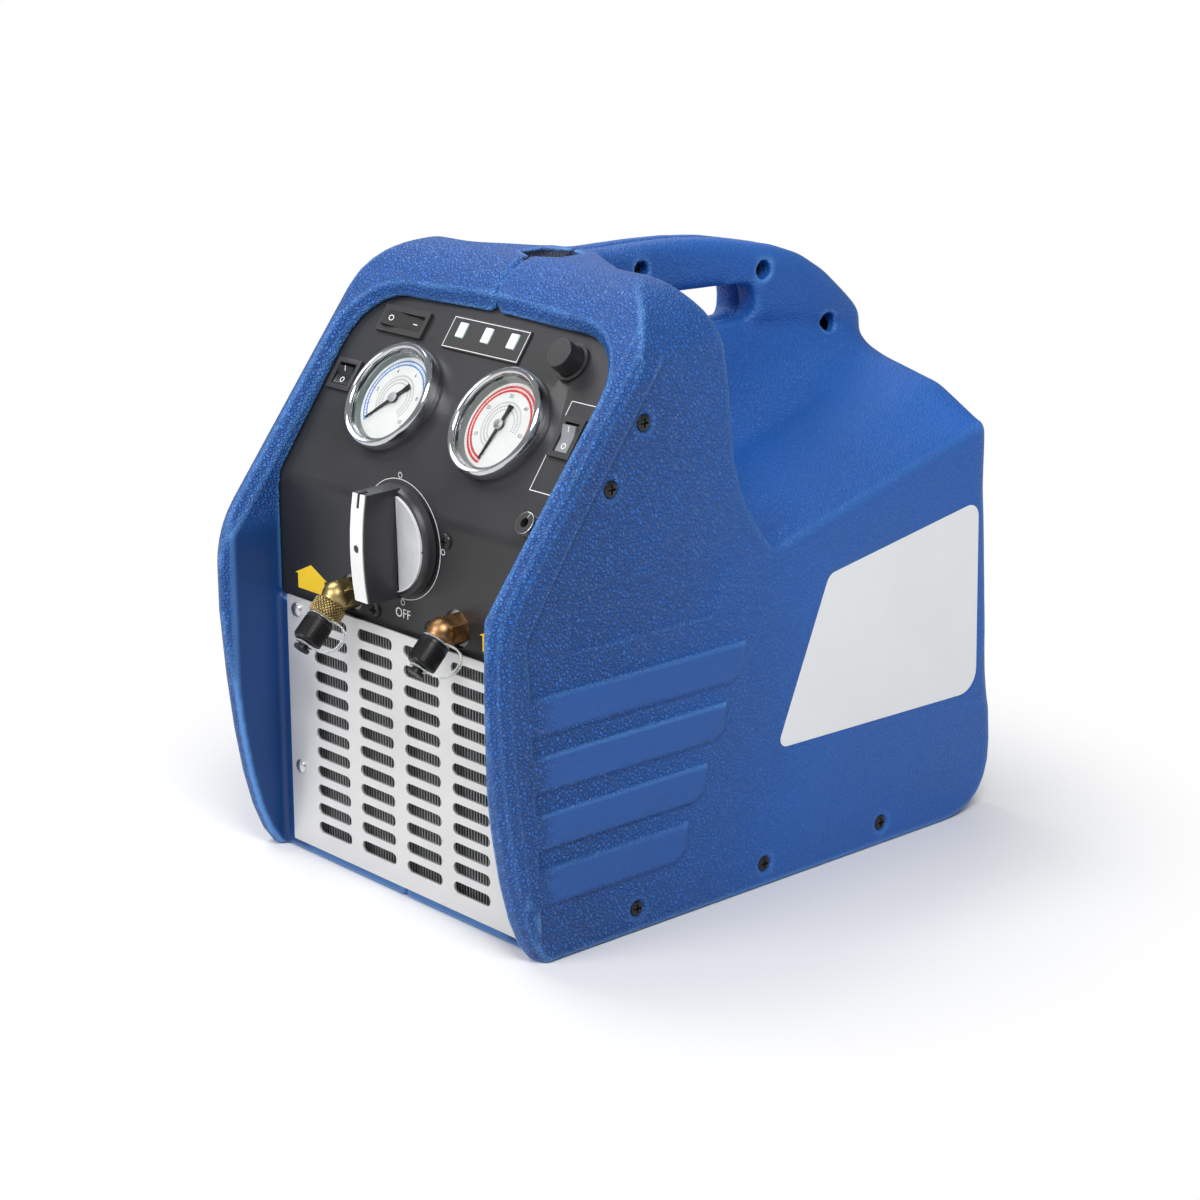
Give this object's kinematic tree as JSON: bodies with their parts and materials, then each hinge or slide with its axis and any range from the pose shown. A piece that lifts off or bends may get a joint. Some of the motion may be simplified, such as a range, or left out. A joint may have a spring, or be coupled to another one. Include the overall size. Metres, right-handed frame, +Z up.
{
  "type": "refrigerant recovery machine",
  "caption": "Portable refrigerant recovery machine: moulded two-half housing with carrying handle, raked control panel with gauges, switches, function knob, capped ports and finned condenser.",
  "frame": {"origin": "on the floor, in the middle of the width and 189 mm behind the front of the rims", "axes": "+X to the right seen from the front, +Y to the tail, +Z up"},
  "size_m": [0.253, 0.393, 0.35],
  "materials": {
    "blue_shell": "blue moulded plastic with a pebble grain",
    "label_white": "blank white film",
    "panel_black": "black satin paint on bent sheet",
    "grille_silver": "pale silver paint on sheet",
    "bare_aluminium": "as cast or as drawn",
    "tray_steel": "zinc plated sheet",
    "black_plastic": "moulded black",
    "steel": "turned",
    "motor_grey": "dark enamel",
    "capacitor_white": "smooth",
    "knob_grey": "dark grey, fine grain",
    "knob_silver": "pale silver",
    "dial_white": "white print ground",
    "needle_black": "matt black",
    "chrome": "polished",
    "lens": "clear",
    "switch_black": "smooth black",
    "rocker_grey": "mid grey",
    "lamp_white": "frosted",
    "brass": "machined",
    "dark_brass": "dull brown",
    "clear_strap": "clear flexible",
    "copper": "drawn tube",
    "black_screws": "black oxide"
  },
  "bodies": {
    "machine": {"left_housing": "blue_shell", "right_housing": "blue_shell", "side_label": "label_white", "control_panel": "panel_black", "grille_plate": "grille_silver", "condenser_coil": "bare_aluminium", "base_plate": "tray_steel", "fan_shroud": "black_plastic", "motor": "motor_grey", "crankcase": "bare_aluminium", "cylinder": "bare_aluminium", "cylinder_head": "bare_aluminium", "run_capacitor": "capacitor_white", "valve_block": "bare_aluminium", "low_gauge_case": "steel", "low_gauge_dial": "dial_white", "low_gauge_bezel": "chrome", "low_gauge_lens": "lens", "high_gauge_case": "steel", "high_gauge_dial": "dial_white", "high_gauge_bezel": "chrome", "high_gauge_lens": "lens", "power_switch_body": "switch_black", "mode_switch_body": "switch_black", "breaker_body": "switch_black", "start_button_body": "switch_black", "indicator_strip": "switch_black", "indicator_lamps": "lamp_white", "service_jack": "chrome", "input_fitting": "brass", "input_filter": "brass", "input_tether": "clear_strap", "output_fitting": "dark_brass", "output_tether": "clear_strap", "power_inlet": "black_plastic", "suction_line": "copper", "discharge_line": "copper", "liquid_line": "copper", "side_screws": "black_screws", "base_screws": "black_screws", "handle_screws": "black_screws", "panel_screws": "black_screws", "grille_screws": "steel"},
    "fan_rotor": {"drive_shaft": "steel", "fan": "black_plastic"},
    "knob": {"function_knob": "knob_grey", "knob_trim": "knob_silver", "valve_spindle": "steel"},
    "low_needle": {"low_gauge_needle": "needle_black"},
    "high_needle": {"high_gauge_needle": "needle_black"},
    "power_switch": {"power_rocker": "switch_black"},
    "mode_switch": {"mode_rocker": "rocker_grey"},
    "breaker": {"breaker_rocker": "switch_black"},
    "start": {"start_button": "switch_black"},
    "input_cap_body": {"input_cap": "black_plastic"},
    "output_cap_body": {"output_cap": "black_plastic"}
  },
  "joints": [
    {"name": "fan_spin", "type": "hinge", "parent": "machine", "child": "fan_rotor", "pos_m": [0, 0, 0.076], "axis": [0, 1, 0], "continuous": true},
    {"name": "function_turn", "type": "hinge", "parent": "machine", "child": "knob", "pos_m": [0, -0.1496, 0.206], "axis": [0, -1, 0], "range_deg": [-90, 180]},
    {"name": "low_needle_turn", "type": "hinge", "parent": "machine", "child": "low_needle", "pos_m": [-0.0453, -0.11576, 0.27033], "axis": [0, 0.8192, -0.5736], "range_deg": [0, 270], "stiffness_Nm_per_rad": 0.0004},
    {"name": "high_needle_turn", "type": "hinge", "parent": "machine", "child": "high_needle", "pos_m": [0.0453, -0.11576, 0.27033], "axis": [0, 0.8192, -0.5736], "range_deg": [0, 270], "stiffness_Nm_per_rad": 0.0004},
    {"name": "power_rock", "type": "hinge", "parent": "machine", "child": "power_switch", "pos_m": [-0.069, -0.08819, 0.30535], "axis": [0, 0.5736, 0.8192], "range_deg": [-20, 0]},
    {"name": "mode_rock", "type": "hinge", "parent": "machine", "child": "mode_switch", "pos_m": [0.096, -0.11228, 0.27094], "axis": [1, 0, 0], "range_deg": [-20, 0]},
    {"name": "breaker_rock", "type": "hinge", "parent": "machine", "child": "breaker", "pos_m": [-0.0965, -0.10998, 0.27422], "axis": [1, 0, 0], "range_deg": [-20, 0]},
    {"name": "start_press", "type": "slide", "parent": "machine", "child": "start", "axis": [0, 0.8192, -0.5736], "range_m": [0, 0.0035], "stiffness_N_per_m": 400},
    {"name": "input_cap_turn", "type": "hinge", "parent": "machine", "child": "input_cap_body", "pos_m": [-0.0461, -0.1596, 0.166], "axis": [0, -0.7071, -0.7071], "range_deg": [0, 1080]},
    {"name": "output_cap_turn", "type": "hinge", "parent": "machine", "child": "output_cap_body", "pos_m": [0.0461, -0.1596, 0.166], "axis": [0, -0.7071, -0.7071], "range_deg": [0, 1080]}
  ]
}
